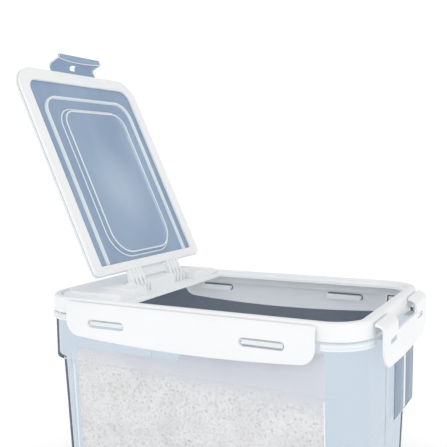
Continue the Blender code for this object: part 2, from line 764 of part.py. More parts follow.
def main():
    clear_scene()
    make_tub()
    make_insert_card()
    make_lid_frame()
    make_lid_gasket()
    make_hinge_pins()
    for name in FLAPS:
        make_flap(name)
    axis = door_hinge_frame()
    make_door_border(axis)
    make_door_seal(axis)
    make_door_panel(axis)


main()
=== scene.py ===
import json
from collections import namedtuple
from math import cos, pi, radians, sin, sqrt

import bmesh
import bpy
from mathutils import Matrix, Vector


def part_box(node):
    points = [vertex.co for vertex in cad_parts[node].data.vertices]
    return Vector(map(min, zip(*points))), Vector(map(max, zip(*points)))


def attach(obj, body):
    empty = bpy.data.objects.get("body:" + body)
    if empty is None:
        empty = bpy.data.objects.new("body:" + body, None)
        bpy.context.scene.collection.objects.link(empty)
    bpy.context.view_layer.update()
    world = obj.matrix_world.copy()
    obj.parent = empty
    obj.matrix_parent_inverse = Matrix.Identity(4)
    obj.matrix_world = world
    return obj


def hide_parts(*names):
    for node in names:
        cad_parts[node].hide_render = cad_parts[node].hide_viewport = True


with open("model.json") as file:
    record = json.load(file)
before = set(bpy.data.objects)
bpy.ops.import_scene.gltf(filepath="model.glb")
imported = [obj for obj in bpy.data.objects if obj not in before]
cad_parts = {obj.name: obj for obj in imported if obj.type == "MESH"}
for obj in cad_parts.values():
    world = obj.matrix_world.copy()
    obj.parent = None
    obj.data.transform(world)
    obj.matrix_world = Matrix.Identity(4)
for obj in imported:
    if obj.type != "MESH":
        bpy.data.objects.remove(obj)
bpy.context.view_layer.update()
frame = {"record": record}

MM = 0.001
CORNER_STEPS = 18
SHARP_EDGE = radians(38)

# Places taken from the frame
lid_low, lid_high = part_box("lid_frame")
HALF_LENGTH = -lid_low[0]
HALF_WIDTH = lid_high[1]
SKIRT_DEPTH = 16 * MM
RIM = lid_low[2] + SKIRT_DEPTH
JOINTS = {joint["name"]: joint for joint in frame["record"]["behaviour"]["joints"]}
HINGE = Vector(JOINTS["door_hinge"]["pos_m"])
DOOR_OPEN = radians(JOINTS["door_hinge"]["range_deg"][1])
DOOR_FRAME = Matrix.Translation(HINGE) @ Matrix.Rotation(-DOOR_OPEN, 4, "Y")

# Lid and tub sections, as distances in from the lid's edge and down from the rim
LID_RADIUS = 36 * MM
LIP_WIDTH = 7.8 * MM
LEDGE = 13 * MM
LEDGE_DROP = 3.3 * MM
SKIRT_WALL = 2.2 * MM
TUB_INSET = 3.0 * MM
COLLAR_INSET = 1.8 * MM
BODY_INSET = 8.2 * MM
BODY_FOOT = 16.5 * MM
TUB_WALL = 2.2 * MM
COLLAR = -65 * MM
GRIP_BOTTOM = -120 * MM
GRIP_INSET = 2.3 * MM

# Hinge and door
HINGE_X = HINGE.x + HALF_LENGTH
HINGE_Z = HINGE.z - RIM
DECK_END = 92 * MM
ARM_INNER = 25 * MM
RIB_WIDTH = 3.4 * MM
RIB_PITCH = 7 * MM
RIBS_PER_ARM = 4
ARM_REACH = ARM_INNER + RIB_PITCH * (RIBS_PER_ARM - 1) + RIB_WIDTH
DOOR_GAP = 0.6 * MM
DOOR_START = DECK_END + DOOR_GAP - HINGE_X
DOOR_END = 2 * HALF_LENGTH - LIP_WIDTH - DOOR_GAP - HINGE_X
DOOR_HALF = HALF_WIDTH - LIP_WIDTH - DOOR_GAP
SEAL_GROOVE = 5.6 * MM
INNER_FACE = -LEDGE_DROP + 0.3 * MM - HINGE_Z
BORDER_TOP = INNER_FACE + 3 * MM
PANEL_BOTTOM = BORDER_TOP + 0.3 * MM
PANEL_TOP = PANEL_BOTTOM + 2 * MM
DISH_DEPTH = 3.2 * MM
# Centre and reach of a painted highlight on the door's dish, in place of the room's reflection
PAINTED_HIGHLIGHT_CENTRE = DOOR_FRAME @ Vector((112 * MM, 0, 0))
PAINTED_HIGHLIGHT_REACH = 62 * MM
LATCH_HALF = 37.4 * MM
LATCH_WALL = 1.8 * MM
LATCH_STAND = 1.5 * MM
LATCH_BEND = 4.5 * MM
LATCH_CREASE = 9.7 * MM
LATCH_CREASE_BOW = 4.2 * MM
LATCH_DEPTH = 15.4 * MM

# Flaps: the turn about Z, and then in mm the half length, stand of the outer face, shoulder, depth at the
# middle and at the ends, lower corner radius, slot centre, slot length and height, and window half width
Flap = namedtuple(
    "Flap", "turn half stand shoulder middle end corner slot_at slot_length slot_height window")
FLAPS = {
    "front": Flap(1.5 * pi, 130.5, 5, 7.5, 36.5, 31, 13, 82.5, 43, 8, 0),
    "back": Flap(0.5 * pi, 130.5, 5, 7.5, 36.5, 31, 13, 82.5, 43, 8, 0),
    "right": Flap(0, 82, 10.5, 5.5, 42, 38, 18, 53, 22, 5, 38),
    "left": Flap(pi, 72, 8.5, 5.5, 38, 34, 13, 53, 22, 5, 0),
}
FLAP_AXIS_OUT = 2 * MM
FLAP_AXIS_DROP = 4.5 * MM
FLAP_WALL = 2.4 * MM
FLAP_BEAD = 1.6 * MM
SLOT_DROP = 22.4 * MM
WINDOW_TOP, WINDOW_BOTTOM = 10 * MM, -13 * MM
DIMPLES = (-68.4 * MM, 35.6 * MM)

# Studio: the white of the room and the floor, and painted shade seen through the clear walls: dark behind
# one, paler behind two
WHITE = 1.05
BEHIND_ONE_WALL = (0.022, 0.035, 0.06)
BEHIND_TWO_WALLS = (0.62, 0.71, 0.80)


def from_left(distance):
    """The x of a place at a distance from the lid's left end."""
    return distance - HALF_LENGTH


def from_rim(distance):
    """The z of a place at a height over the rim."""
    return RIM + distance


def half_size(side):
    """The lid's half size towards a side."""
    return HALF_LENGTH if side in ("right", "left") else HALF_WIDTH


# Materials

def new_material(name):
    """A new material, its node tree and its main shader."""
    made = bpy.data.materials.new(name)
    made.use_nodes = True
    return made, made.node_tree, made.node_tree.nodes["Principled BSDF"]


def noise(tree, scale, detail=3.0, stretch=(1, 1, 1)):
    """Noise in the piece's own space, with an optional stretch."""
    place = tree.nodes.new("ShaderNodeTexCoord")
    mapping = tree.nodes.new("ShaderNodeMapping")
    mapping.inputs["Scale"].default_value = stretch
    texture = tree.nodes.new("ShaderNodeTexNoise")
    texture.inputs["Scale"].default_value = scale
    texture.inputs["Detail"].default_value = detail
    tree.links.new(place.outputs["Object"], mapping.inputs["Vector"])
    tree.links.new(mapping.outputs["Vector"], texture.inputs["Vector"])
    return texture.outputs["Fac"]


def ramp(tree, source, *stops):
    """A colour ramp over a source, from (place, colour) stops."""
    node = tree.nodes.new("ShaderNodeValToRGB")
    elements = node.color_ramp.elements
    for index, (place, colour) in enumerate(stops):
        element = elements[index] if index < 2 else elements.new(place)
        element.position = place
        element.color = (*colour, 1)
    tree.links.new(source, node.inputs["Fac"])
    return node.outputs["Color"]


def tones(tree, source, dark, light):
    """Two colours over the middle of a noise."""
    return ramp(tree, source, (0.3, dark), (0.7, light))


def map_range(tree, source, start, end, low=0.0, high=1.0, smooth=False):
    """A value that runs from low to high while its source runs from start to end."""
    node = tree.nodes.new("ShaderNodeMapRange")
    if smooth:
        node.interpolation_type = "SMOOTHSTEP"
    for socket, value in (("From Min", start), ("From Max", end), ("To Min", low), ("To Max", high)):
        node.inputs[socket].default_value = value
    tree.links.new(source, node.inputs["Value"])
    return node.outputs["Result"]


def span(tree, source, low, high):
    """A value that runs from low to high over the middle of a noise."""
    return map_range(tree, source, 0.3, 0.7, low, high)


def measure(tree, operation, vector=(0, 0, 0)):
    """A number from the piece's own coordinates: a distance, a length or a dot product."""
    place = tree.nodes.new("ShaderNodeTexCoord")
    node = tree.nodes.new("ShaderNodeVectorMath")
    node.operation = operation
    node.inputs[1].default_value = vector
    tree.links.new(place.outputs["Object"], node.inputs[0])
    return node.outputs["Value"]


def mix_colours(tree, blend, share, first, second):
    """Two colours blended; the share is a constant or a node's output."""
    mix = tree.nodes.new("ShaderNodeMix")
    mix.data_type = "RGBA"
    mix.blend_type = blend
    if isinstance(share, float):
        mix.inputs["Factor"].default_value = share
    else:
        tree.links.new(share, mix.inputs["Factor"])
    tree.links.new(first, mix.inputs["A"])
    tree.links.new(second, mix.inputs["B"])
    return mix.outputs["Result"]


def mix_shaders(tree, share, first, second):
    """Two shaders blended by a node's output."""
    mix = tree.nodes.new("ShaderNodeMixShader")
    for socket, source in zip(mix.inputs, (share, first, second)):
        tree.links.new(source, socket)
    return mix.outputs[0]


def glow(tree, kind, strength=1.0, colour=None):
    """A background or an emission, white or in a node's colour."""
    node = tree.nodes.new(kind)
    node.inputs["Strength"].default_value = strength
    if colour:
        tree.links.new(colour, node.inputs["Color"])
    else:
        node.inputs["Color"].default_value = (1, 1, 1, 1)
    return node.outputs[0]


def bump(tree, shader, height, strength, depth):
    """Fine relief on a shader."""
    node = tree.nodes.new("ShaderNodeBump")
    node.inputs["Strength"].default_value = strength
    node.inputs["Distance"].default_value = depth
    tree.links.new(height, node.inputs["Height"])
    tree.links.new(node.outputs["Normal"], shader.inputs["Normal"])


def surface(tree, shader, colour, roughness):
    """Give a shader its colour and roughness."""
    tree.links.new(colour, shader.inputs["Base Color"])
    tree.links.new(roughness, shader.inputs["Roughness"])


def make_clear_blue(name, alpha, dark, light, highlight_centre=None, gloss=0.5):
    """Blue-tinted clear plastic: faint streaks stretched up and down in lighter and darker tones, an uneven
    gloss, and an optional painted highlight, a paler zone round a given centre.
    """
    made, tree, shader = new_material(name)
    # Faint streaks stretched up and down, in lighter and darker tones
    colour = tones(tree, noise(tree, 14, 3, (1, 1, 0.35)), dark, light)
    # A painted highlight: paler towards a given centre, in place of the room's reflection
    if highlight_centre:
        pale = map_range(tree, measure(tree, "DISTANCE", highlight_centre), PAINTED_HIGHLIGHT_REACH, 0.0, high=0.6, smooth=True)
        lit = tones(tree, noise(tree, 22, 3), (0.66, 0.80, 0.97), (0.76, 0.88, 0.99))
        colour = mix_colours(tree, "MIX", pale, colour, lit)
    surface(tree, shader, colour, span(tree, noise(tree, 60), 0.08, 0.15))
    bump(tree, shader, noise(tree, 30, 2), 0.05, 0.3 * MM)
    shader.inputs["IOR"].default_value = 1.49
    shader.inputs["Alpha"].default_value = alpha
    shader.inputs["Specular IOR Level"].default_value = gloss
    shader.inputs["Coat Weight"].default_value = gloss
    shader.inputs["Coat Roughness"].default_value = 0.06
    return made


def make_white_plastic():
    """Satin white plastic with a fine moulded grain."""
    made, tree, shader = new_material("white_plastic")
    colour = tones(tree, noise(tree, 9, 2), (0.87, 0.885, 0.90), (0.91, 0.92, 0.93))
    surface(tree, shader, colour, span(tree, noise(tree, 35, 4), 0.28, 0.42))
    bump(tree, shader, noise(tree, 1400, 2), 0.10, 0.05 * MM)
    shader.inputs["IOR"].default_value = 1.49
    return made


def make_silicone():
    """Matt white rubber with a slight grain."""
    made, tree, shader = new_material("silicone")
    colour = tones(tree, noise(tree, 30, 2), (0.86, 0.87, 0.88), (0.91, 0.92, 0.93))
    surface(tree, shader, colour, span(tree, noise(tree, 90, 3), 0.5, 0.7))
    bump(tree, shader, noise(tree, 900, 2), 0.15, 0.05 * MM)
    return made


def make_steel():
    """A ground pin: fine rings round its axis."""
    made, tree, shader = new_material("steel")
    rings = noise(tree, 500, 2, (0.05, 1, 0.05))
    colour = tones(tree, rings, (0.52, 0.52, 0.53), (0.66, 0.66, 0.67))
    surface(tree, shader, colour, span(tree, rings, 0.22, 0.4))
    shader.inputs["Metallic"].default_value = 1.0
    bump(tree, shader, rings, 0.2, 0.02 * MM)
    return made


def make_card():
    """A pale sheet: plain lavender grey above, and warm flecked mottling below a slanted line."""
    made, tree, shader = new_material("card")
    flecks = noise(tree, 420, 4)
    fleck_colour = ramp(
        tree, flecks, (0.28, (0.46, 0.42, 0.38)), (0.38, (0.76, 0.73, 0.70)),
        (0.50, (0.85, 0.83, 0.81)), (0.72, (0.92, 0.91, 0.90)),
    )
    mottling = ramp(tree, noise(tree, 55, 5), (0.35, (0.92, 0.91, 0.91)), (0.62, (1.0, 1.0, 1.0)))
    warm = mix_colours(tree, "MULTIPLY", 1.0, fleck_colour, mottling)
    plain = tones(tree, noise(tree, 16, 2), (0.66, 0.66, 0.72), (0.76, 0.76, 0.81))
    height = measure(tree, "DOT_PRODUCT", (0.07, 0, 1))
    zone = map_range(tree, height, from_rim(-52 * MM), from_rim(-84 * MM), smooth=True)
    colour = mix_colours(tree, "MIX", zone, plain, warm)
    surface(tree, shader, colour, span(tree, noise(tree, 200, 3), 0.55, 0.75))
    bump(tree, shader, flecks, 0.08, 0.05 * MM)
    return made


# The clear plastics: the walls, the door, bands and edges with painted shade, and lines and edges with a
# painted highlight
CLEAR_PLASTICS = {
    "clear_blue": dict(alpha=0.10, dark=(0.66, 0.75, 0.86), light=(0.76, 0.84, 0.93)),
    "clear_blue_door": dict(alpha=0.50, dark=(0.39, 0.52, 0.71), light=(0.51, 0.66, 0.84), highlight_centre=PAINTED_HIGHLIGHT_CENTRE),
    # Painted shade: dark and nearly solid, for bands and edges
    "clear_painted_shade": dict(alpha=0.70, dark=(0.17, 0.25, 0.36), light=(0.23, 0.32, 0.44), gloss=0.1),
    # Painted highlight: pale and nearly solid, for lines, edges and tongues
    "clear_painted_highlight": dict(alpha=0.80, dark=(0.91, 0.97, 0.99), light=(0.95, 0.99, 1.0)),
}
MATERIALS = {name: make_clear_blue(name, **look) for name, look in CLEAR_PLASTICS.items()}
MATERIALS |= {
    "white_plastic": make_white_plastic(), "silicone": make_silicone(),
    "steel": make_steel(), "card": make_card(),
}


# Modelling helpers

def outline(x0, x1, half_width, radius_left, radius_right):
    """A rectangle with rounded corners in XY, counter-clockwise, with one radius at each end."""
    corners = (
        (x1, half_width, radius_right, 0.0),
        (x0, half_width, radius_left, 0.5 * pi),
        (x0, -half_width, radius_left, pi),
        (x1, -half_width, radius_right, 1.5 * pi),
    )
    points = []
    for x, y, radius, start in corners:
        centre_x = x - radius if x == x1 else x + radius
        centre_y = y - radius if y > 0 else y + radius
        for step in range(CORNER_STEPS + 1):
            angle = start + 0.5 * pi * step / CORNER_STEPS
            points.append((centre_x + radius * cos(angle), centre_y + radius * sin(angle)))
    return points


def lid_outline(inset):
    """The lid's outline, drawn in by an inset."""
    half = HALF_LENGTH - inset
    radius = LID_RADIUS - inset
    return outline(-half, half, HALF_WIDTH - inset, radius, radius)


def fillet(points, radius, closed=True, steps=4):
    """Round a section's corners, each by up to a radius."""
    rounded = []
    count = len(points)
    for i, point in enumerate(points):
        if not closed and i in (0, count - 1):
            rounded.append(point)
            continue
        corner = Vector(point)
        before = Vector(points[i - 1]) - corner
        after = Vector(points[(i + 1) % count]) - corner
        start = corner + before * min(radius / before.length, 0.45)
        end = corner + after * min(radius / after.length, 0.45)
        for step in range(steps + 1):
            t = step / steps
            place = start * (1 - t) ** 2 + corner * (2 * t * (1 - t)) + end * t * t
            rounded.append((place.x, place.y))
    return rounded


def bridge(mesh_data, first, second):
    """Join two closed loops of vertices with faces."""
    count = len(first)
    for i in range(count):
        j = (i + 1) % count
        mesh_data.faces.new((first[i], first[j], second[j], second[i]))


def shade(mesh):
    """Smooth shading, with sharp edges where the surface turns sharply."""
    mesh.shade_smooth()
    mesh.set_sharp_from_angle(angle=SHARP_EDGE)


def add_object(name, mesh_data, material_name, matrix=None):
    """Turn mesh data into an object, with its matrix applied and its material set."""
    bmesh.ops.remove_doubles(mesh_data, verts=mesh_data.verts, dist=1e-6)
    bmesh.ops.recalc_face_normals(mesh_data, faces=mesh_data.faces)
    mesh = bpy.data.meshes.new(name)
    mesh_data.to_mesh(mesh)
    mesh_data.free()
    if matrix:
        mesh.transform(matrix)
    shade(mesh)
    obj = bpy.data.objects.new(name, mesh)
    bpy.context.scene.collection.objects.link(obj)
    if material_name:
        mesh.materials.append(MATERIALS[material_name])
    return obj


def loft(name, loops, material_name, matrix=None, ring=False):
    """Skin a list of (outline, height) loops, capped at both ends or closed on itself as a ring."""
    mesh_data = bmesh.new()
    rows = [[mesh_data.verts.new((x, y, height)) for x, y in points] for points, height in loops]
    for first, second in zip(rows, rows[1:]):
        bridge(mesh_data, first, second)
    if ring:
        bridge(mesh_data, rows[-1], rows[0])
    else:
        mesh_data.faces.new(list(reversed(rows[0])))
        mesh_data.faces.new(rows[-1])
    return add_object(name, mesh_data, material_name, matrix)


def ring(name, section, path, material_name, radius, matrix=None):
    """A closed (inset, height) section, with rounded corners, carried round a path."""
    loops = [(path(inset), height) for inset, height in fillet(section, radius)]
    return loft(name, loops, material_name, matrix, ring=True)


def pad(name, path, low, high, edge, material_name, matrix=None):
    """An upright prism over a path of insets, with a rounded top edge."""
    section = fillet([(0, low), (0, high), (4 * edge, high)], edge, closed=False)
    return loft(name, [(path(inset), height) for inset, height in section], material_name, matrix)


def strip(name, rows, material_name, matrix=None):
    """Skin a list of closed 3-D loops, capped at both ends."""
    mesh_data = bmesh.new()
    loops = [[mesh_data.verts.new(point) for point in row] for row in rows]
    for first, second in zip(loops, loops[1:]):
        bridge(mesh_data, first, second)
    mesh_data.faces.new(loops[0])
    mesh_data.faces.new(loops[-1])
    return add_object(name, mesh_data, material_name, matrix)


def prism_along_y(name, section, y0, y1, material_name, matrix=None):
    """An (x, z) section carried from y0 to y1."""
    rows = [[(x, y, z) for x, z in section] for y in (y0, y1)]
    return strip(name, rows, material_name, matrix)


def tube(name, path, radius, material_name, matrix=None):
    """A fine round bead along a path, a little thinner at both ends."""
    rows = []
    last = len(path) - 1
    for i, point in enumerate(path):
        along = (Vector(path[min(i + 1, last)]) - Vector(path[max(i - 1, 0)])).normalized()
        side = along.orthogonal().normalized() if i == 0 else (side - along * side.dot(along)).normalized()
        other = along.cross(side)
        reach = radius * (0.6 if i in (0, last) else 1.0)
        angles = [2 * pi * step / 10 for step in range(10)]
        rows.append([Vector(point) + (side * cos(angle) + other * sin(angle)) * reach for angle in angles])
    return strip(name, rows, material_name, matrix)


def circle_section(x, z, radius, sides=40):
    """A circle in XZ."""
    angles = [2 * pi * i / sides for i in range(sides)]
    return [(x + radius * cos(angle), z + radius * sin(angle)) for angle in angles]


def boxes(name, *corners, material_name=None, matrix=None):
    """Separate plain boxes in one mesh, from (low, high) corners."""
    mesh_data = bmesh.new()
    for low, high in corners:
        flat = [(high[0], high[1]), (low[0], high[1]), (low[0], low[1]), (high[0], low[1])]
        bottom = [mesh_data.verts.new((x, y, low[2])) for x, y in flat]
        top = [mesh_data.verts.new((x, y, high[2])) for x, y in flat]
        bridge(mesh_data, bottom, top)
        mesh_data.faces.new(bottom)
        mesh_data.faces.new(top)
    return add_object(name, mesh_data, material_name, matrix)


def carve(obj, *cutters):
    """Cut shapes from a piece, and keep the result as its mesh."""
    for cutter in cutters:
        modifier = obj.modifiers.new("cut", "BOOLEAN")
        modifier.solver = "EXACT"
        modifier.object = cutter
    graph = bpy.context.evaluated_depsgraph_get()
    mesh = bpy.data.meshes.new_from_object(obj.evaluated_get(graph))
    while len(mesh.materials) > 1:
        mesh.materials.pop()
    for polygon in mesh.polygons:
        polygon.material_index = 0
    shade(mesh)
    obj.modifiers.clear()
    obj.data = mesh
    for cutter in cutters:
        bpy.data.objects.remove(cutter)


def soften(obj, width, segments=3, angle=42):
    """Rounded edges where the surface turns sharply."""
    bevel = obj.modifiers.new("soft_edges", "BEVEL")
    bevel.width = width
    bevel.segments = segments
    bevel.limit_method = "ANGLE"
    bevel.angle_limit = radians(angle)
    bevel.harden_normals = True


# Tub

def wall_inset(z):
    """The body's inset from the lid's edge at a height over the rim."""
    low, high = -RIM + 4 * MM, COLLAR - 2.6 * MM
    return BODY_FOOT + (BODY_INSET - BODY_FOOT) * (z - low) / (high - low)


def body_loop(inset, right_inset, z):
    """One loop of the tub's wall, with its own inset at the right end."""
    radius = LID_RADIUS - inset
    points = outline(inset - HALF_LENGTH, HALF_LENGTH - right_inset, HALF_WIDTH - inset, radius, radius)
    return [(x, y, from_rim(z)) for x, y in points]


def make_tub():
    """The tub: a stepped collar that runs on down at the right end, and a bead under the lid's skirt."""
    inner = TUB_INSET + TUB_WALL
    foot = -RIM
    grip = wall_inset(GRIP_BOTTOM)
    rows = (
        (BODY_FOOT + 14 * MM, 0, foot + 1 * MM),
        (BODY_FOOT + 10 * MM, 0, foot + 1 * MM),
        (BODY_FOOT + 8.5 * MM, 0, foot + 0.01 * MM),
        (BODY_FOOT + 3 * MM, 0, foot + 0.01 * MM),
        (BODY_FOOT, 0, foot + 4 * MM),
        (grip, 0, GRIP_BOTTOM),
        (grip, GRIP_INSET, GRIP_BOTTOM + 2.4 * MM),
        (BODY_INSET, COLLAR_INSET, COLLAR - 2.6 * MM),
        (BODY_INSET - 0.4 * MM, COLLAR_INSET, COLLAR - 0.4 * MM),
        (COLLAR_INSET, 0, COLLAR + 0.2 * MM),
        (COLLAR_INSET, 0, -25 * MM),
        (-1 * MM, 0, -23.6 * MM),
        (-1 * MM, 0, -18.6 * MM),
        (TUB_INSET, 0, -17 * MM),
        (TUB_INSET, 0, -6.2 * MM),
        (inner, 0, -6.2 * MM),
        (inner, 0, -26 * MM),
        (COLLAR_INSET + TUB_WALL, 0, -28 * MM),
        (COLLAR_INSET + TUB_WALL, 0, COLLAR + 3 * MM),
        (BODY_INSET + TUB_WALL, COLLAR_INSET + TUB_WALL, COLLAR + 0.6 * MM),
        (grip + TUB_WALL, GRIP_INSET + TUB_WALL, GRIP_BOTTOM + 6.5 * MM),
        (grip + TUB_WALL, 0, GRIP_BOTTOM + 4.5 * MM),
        (BODY_FOOT + TUB_WALL, 0, foot + 6 * MM),
        (BODY_FOOT + TUB_WALL + 3 * MM, 0, foot + 2.6 * MM),
        (BODY_FOOT + 12 * MM, 0, foot + 2.6 * MM),
    )
    sides = fillet([(inset, z) for inset, _, z in rows], 1.6 * MM, closed=False)
    right = fillet([(own or inset, z) for inset, own, z in rows], 1.6 * MM, closed=False)
    loops = [body_loop(inset, own, z) for (inset, z), (own, _) in zip(sides, right)]
    tub = strip("tub_shell", loops, "clear_blue")
    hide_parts("tub")
    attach(tub, "bin")


def make_bead():
    """A painted highlight on the edge of the bead under the lid's skirt, round the four corners between the
    flaps: pale strips over the bead.
    """
    section = [
        (-0.98 * MM, -23.4 * MM), (-0.98 * MM, -18.8 * MM), (1.2 * MM, -17.4 * MM), (1.2 * MM, -24.4 * MM),
    ]
    loops = [(lid_outline(inset), from_rim(z)) for inset, z in fillet(section, 0.5 * MM)]
    count = CORNER_STEPS + 1
    for corner, label in enumerate(("back_right", "back_left", "front_left", "front_right")):
        places = range(corner * count, (corner + 1) * count)
        rows = [[(*points[i], z) for points, z in loops] for i in places]
        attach(strip(f"bead_edge_{label}", rows, "clear_painted_highlight"), "bin")


def make_corner_lines():
    """A fine raised line at each end of the body's four round corners, from the collar to the foot, pale
    with a painted highlight.
    """
    width, height, root = 0.8 * MM, 0.45 * MM, -0.3 * MM
    section = fillet(
        [(-width, root), (-width * 0.6, height), (width * 0.6, height), (width, root)], 0.3 * MM)
    for side, flap in FLAPS.items():
        half = half_size(side)
        place = HALF_LENGTH + HALF_WIDTH - half - LID_RADIUS
        top = GRIP_BOTTOM - 2 * MM if side == "right" else COLLAR - 4 * MM
        for sign, label in ((-1, "low"), (1, "high")):
            rows = []
            for z in (-RIM + 8 * MM, top):
                face = half - wall_inset(z)
                rows.append([(face + out, sign * place + y, from_rim(z)) for y, out in section])
            turned = Matrix.Rotation(flap.turn, 4, "Z")
            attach(strip(f"corner_line_{side}_{label}", rows, "clear_painted_highlight", turned), "bin")


def make_grip_bands():
    """Raised bands down the deep collar's face at the right end: two dark with painted shade, one pale
    between them with a painted highlight.
    """
    levels = ((-31 * MM, COLLAR_INSET), (COLLAR, COLLAR_INSET), (GRIP_BOTTOM + 5 * MM, GRIP_INSET))
    root, face, draft = -0.4 * MM, 0.5 * MM, 0.3 * MM
    for name, low, high, material_name in (
        ("grip_band_middle", 0 * MM, 35.5 * MM, "clear_painted_shade"),
        ("grip_band_line", 37 * MM, 43.5 * MM, "clear_painted_highlight"),
        ("grip_band_back", 45 * MM, 74 * MM, "clear_painted_shade"),
    ):
        section = fillet([(low, root), (low + draft, face), (high - draft, face), (high, root)], 0.3 * MM)
        rows = [[(HALF_LENGTH - inset + out, y, from_rim(z)) for y, out in section] for z, inset in levels]
        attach(strip(name, rows, material_name), "bin")


def make_tongues():
    """The lock tongues on the tub's bead, one for each flap slot, made pale with a painted highlight."""
    for side, flap in FLAPS.items():
        half_height = flap.slot_height * MM / 2 - 1.6 * MM
        half_length = flap.slot_length * MM / 2 - 2 * MM
        root, reach = -4 * MM, flap.stand * MM - FLAP_WALL + 0.7 * MM
        section = (
            (root, -SLOT_DROP + half_height), (reach, -SLOT_DROP + half_height - 0.5 * MM),
            (reach, -SLOT_DROP - half_height + 0.3 * MM), (root, -SLOT_DROP - half_height),
        )
        points = [(half_size(side) + x, from_rim(z)) for x, z in section]
        for sign, label in ((-1, "low"), (1, "high")):
            centre = sign * flap.slot_at * MM
            tongue = prism_along_y(
                f"tongue_{side}_{label}", points, centre - half_length, centre + half_length,
                "clear_painted_highlight", Matrix.Rotation(flap.turn, 4, "Z"),
            )
            soften(tongue, 0.35 * MM)
            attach(tongue, "bin")


def make_insert():
    """The sheet inside the front wall: a low part on the left, and a faint bow along its length."""
    low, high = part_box("insert_card")
    columns, levels, thickness = 56, 24, 0.5 * MM
    step_x, low_top = from_left(163 * MM), from_rim(-53 * MM)
    slope = (BODY_FOOT - BODY_INSET) * 0.96 / (from_rim(COLLAR) - low[2])
    top_y = -HALF_WIDTH + BODY_INSET + TUB_WALL + 0.55 * MM
    mesh_data = bmesh.new()
    edges = []
    for depth in (0.0, thickness):
        rows = []
        for column in range(columns + 1):
            x = low[0] + (high[0] - low[0]) * column / columns
            top = high[2] if x >= step_x else low_top
            bow = 0.12 * MM * (1 - cos(2 * pi * column / columns * 2))
            rows.append([])
            for level in range(levels + 1):
                z = low[2] + (top - low[2]) * level / levels
                y = top_y + slope * (from_rim(COLLAR) - z) + depth + bow
                rows[-1].append(mesh_data.verts.new((x, y, z)))
        for first, second in zip(rows, rows[1:]):
            for i in range(levels):
                mesh_data.faces.new((first[i], second[i], second[i + 1], first[i + 1]))
        foot, head = [row[0] for row in rows], [row[-1] for row in rows[-2::-1]]
        edges.append(foot + rows[-1][1:] + head + rows[0][-2:0:-1])
    bridge(mesh_data, *edges)
    sheet = add_object("insert_sheet", mesh_data, "card")
    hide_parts("insert_card")
    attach(sheet, "bin")


# Lid frame

def make_frame_ring():
    """The frame's ring: its skirt, lip, door ledge with a groove, and the gasket's channel."""
    channel = SKIRT_WALL + 4 * MM
    section = [
        (0, -SKIRT_DEPTH), (0, -1.6 * MM), (1.6 * MM, 0),
        (LIP_WIDTH - 0.7 * MM, 0), (LIP_WIDTH, -0.7 * MM), (LIP_WIDTH, -LEDGE_DROP),
        (9.2 * MM, -LEDGE_DROP), (9.5 * MM, -LEDGE_DROP - 0.6 * MM),
        (10.4 * MM, -LEDGE_DROP - 0.6 * MM), (10.7 * MM, -LEDGE_DROP), (LEDGE, -LEDGE_DROP),
        (LEDGE, -7 * MM), (LEDGE - SKIRT_WALL, -7 * MM), (LEDGE - SKIRT_WALL, -5.5 * MM),
        (channel, -5.5 * MM), (channel, -2.4 * MM), (SKIRT_WALL, -2.4 * MM), (SKIRT_WALL, -SKIRT_DEPTH),
    ]
    levels = [(x, from_rim(z)) for x, z in section]
    ring_piece = ring("frame_ring", levels, lid_outline, "white_plastic", 0.8 * MM)
    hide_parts("lid_frame")
    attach(ring_piece, "bin")


def deck_path(left, right, half, radius):
    """A path of insets round a deck level, between two distances from the left end."""
    def path(inset):
        corner = max(radius - inset, 0.6 * MM)
        start, end = from_left(left) + inset, from_left(right) - inset * 0.6
        return outline(start, end, half - inset, corner, 0.6 * MM)
    return path


def rib_places(sign):
    """The middles of an arm's ribs, on the front (-1) or the back (1)."""
    return [sign * (ARM_INNER + RIB_WIDTH / 2 + RIB_PITCH * i) for i in range(RIBS_PER_ARM)]


def hinge_cutters(grow):
    """The recess in front of the hinge, the rib slots and the clearance over the arms, larger by grow."""
    floor, roof = from_rim(-3.5 * MM) - grow, from_rim(15 * MM)
    x_recess, x_end = from_left(80.5 * MM) - grow, from_left(DECK_END + 2 * MM)
    side = ARM_REACH + 0.5 * MM + grow
    recess = boxes("recess", ((x_recess, -side, floor), (x_end, side, roof)))
    slots, clearances = [], []
    for sign in (-1, 1):
        ends = sorted((sign * (ARM_INNER - 0.5 * MM - grow), sign * side))
        low = (from_left(60 * MM) - grow, ends[0], from_rim(4.4 * MM) - grow)
        clearances.append((low, (x_end, ends[1], roof)))
        for y in rib_places(sign):
            half = RIB_WIDTH / 2 + 0.3 * MM + grow
            low = (from_left(67.6 * MM) - grow, y - half, floor)
            slots.append((low, (x_recess + 1 * MM, y + half, roof)))
    return recess, boxes("slots", *slots), boxes("clearances", *clearances)


